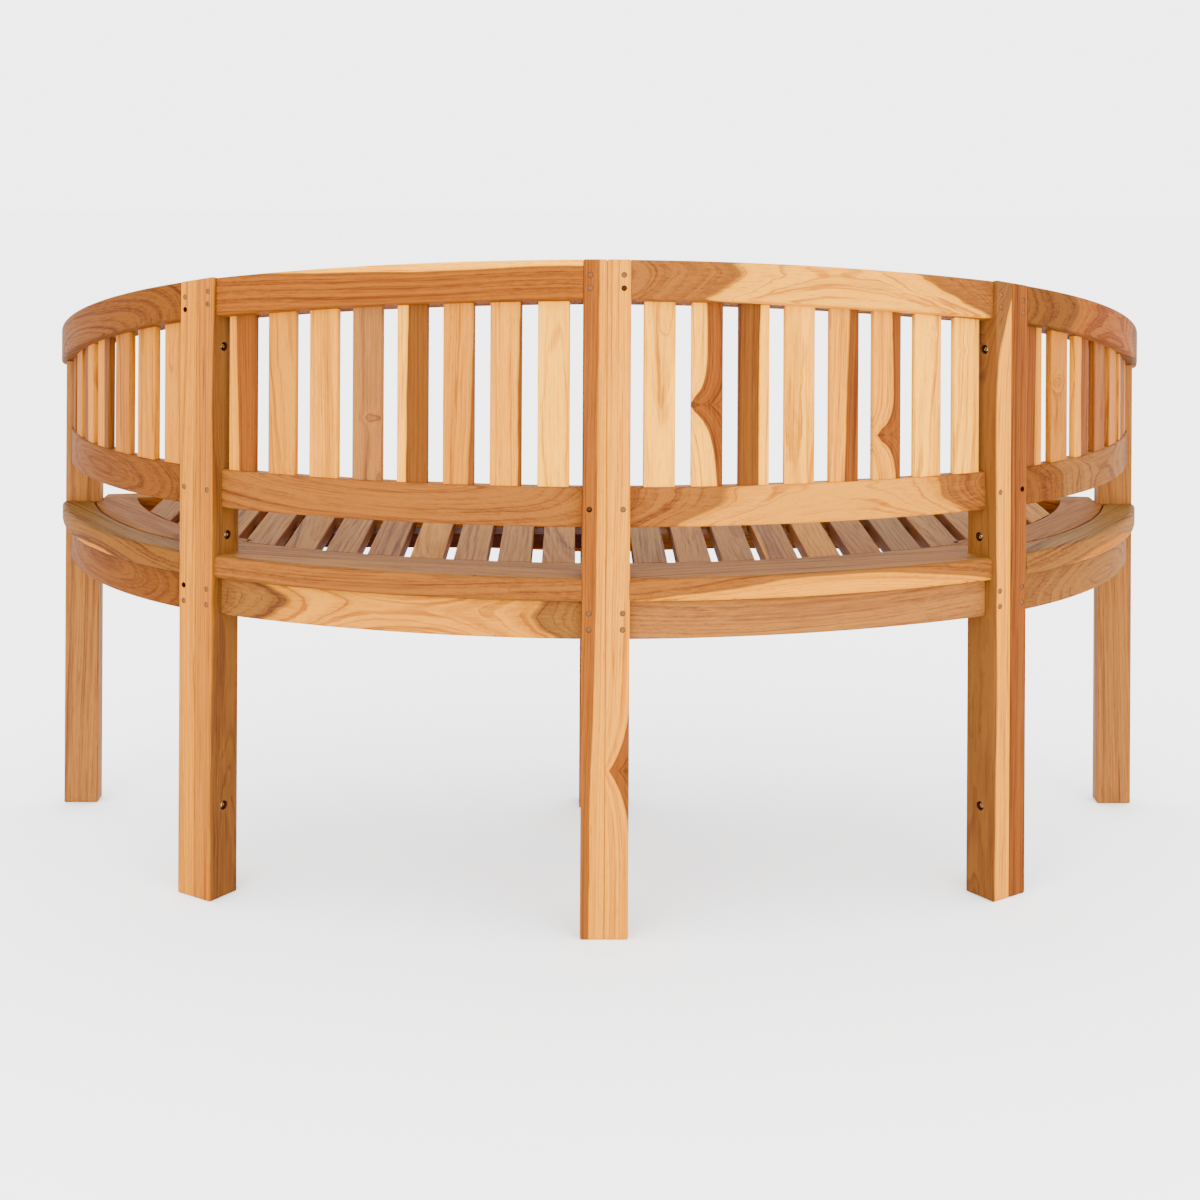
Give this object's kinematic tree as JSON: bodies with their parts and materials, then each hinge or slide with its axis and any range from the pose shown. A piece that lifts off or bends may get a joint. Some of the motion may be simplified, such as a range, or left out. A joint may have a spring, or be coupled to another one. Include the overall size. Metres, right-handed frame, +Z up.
{
  "type": "tree bench",
  "caption": "Half-round slatted garden bench in bare teak: paired posts, curved back rails that fall to the arm ends, and a half-moon seat of parallel slats.",
  "frame": {"origin": "on the floor, in the middle of the bounding box, halfway between the back and the front edge", "axes": "+X to the right seen from behind the back, +Y from the back towards the seat's front edge, +Z up"},
  "size_m": [1.6232, 0.5927, 0.848],
  "materials": {
    "post_teak": "sanded, unfinished teak",
    "rail_teak": "sanded, unfinished teak with cathedral grain",
    "back_teak": "sanded, unfinished teak",
    "board_teak": "sanded, slightly weathered teak",
    "slat_teak": "sanded, slightly weathered teak",
    "frame_teak": "rough planed teak",
    "peg_teak": "sanded end grain",
    "steel": "dull yellow zinc plating"
  },
  "bodies": {
    "root": {"apron_center_left": "rail_teak", "apron_center_right": "rail_teak", "apron_end_left": "rail_teak", "apron_end_right": "rail_teak", "apron_front_left": "rail_teak", "apron_front_right": "rail_teak", "back_rail_center_left": "rail_teak", "back_rail_center_right": "rail_teak", "back_rail_end_left": "rail_teak", "back_rail_end_right": "rail_teak", "back_slats_center_left": "back_teak", "back_slats_center_right": "back_teak", "back_slats_end_left": "back_teak", "back_slats_end_right": "back_teak", "joint_pegs": "peg_teak", "leg_front_left": "post_teak", "leg_front_right": "post_teak", "post_bolts": "steel", "post_center_left": "post_teak", "post_center_right": "post_teak", "post_corner_left_inner": "post_teak", "post_corner_left_outer": "post_teak", "post_corner_right_inner": "post_teak", "post_corner_right_outer": "post_teak", "post_end_left": "post_teak", "post_end_right": "post_teak", "post_nuts": "steel", "seat_batten_center_left": "frame_teak", "seat_batten_center_right": "frame_teak", "seat_battens_end": "frame_teak", "seat_bearer_center_left": "frame_teak", "seat_bearer_center_right": "frame_teak", "seat_bearer_end_left": "frame_teak", "seat_bearer_end_right": "frame_teak", "seat_bearer_side_left": "frame_teak", "seat_bearer_side_right": "frame_teak", "seat_board_end_left": "board_teak", "seat_board_end_right": "board_teak", "seat_rim_center_left": "board_teak", "seat_rim_center_right": "board_teak", "seat_rim_end_left": "board_teak", "seat_rim_end_right": "board_teak", "seat_rim_front_left": "board_teak", "seat_rim_front_right": "board_teak", "seat_slat_middle": "slat_teak", "seat_slats_pair_01": "slat_teak", "seat_slats_pair_02": "slat_teak", "seat_slats_pair_03": "slat_teak", "seat_slats_pair_04": "slat_teak", "seat_slats_pair_05": "slat_teak", "seat_slats_pair_06": "slat_teak", "seat_slats_pair_07": "slat_teak", "seat_slats_pair_08": "slat_teak", "seat_slats_pair_09": "slat_teak", "seat_slats_pair_10": "slat_teak", "seat_slats_pair_11": "slat_teak", "top_rail_center_left": "rail_teak", "top_rail_center_right": "rail_teak", "top_rail_end_left": "rail_teak", "top_rail_end_right": "rail_teak"}
  },
  "joints": []
}
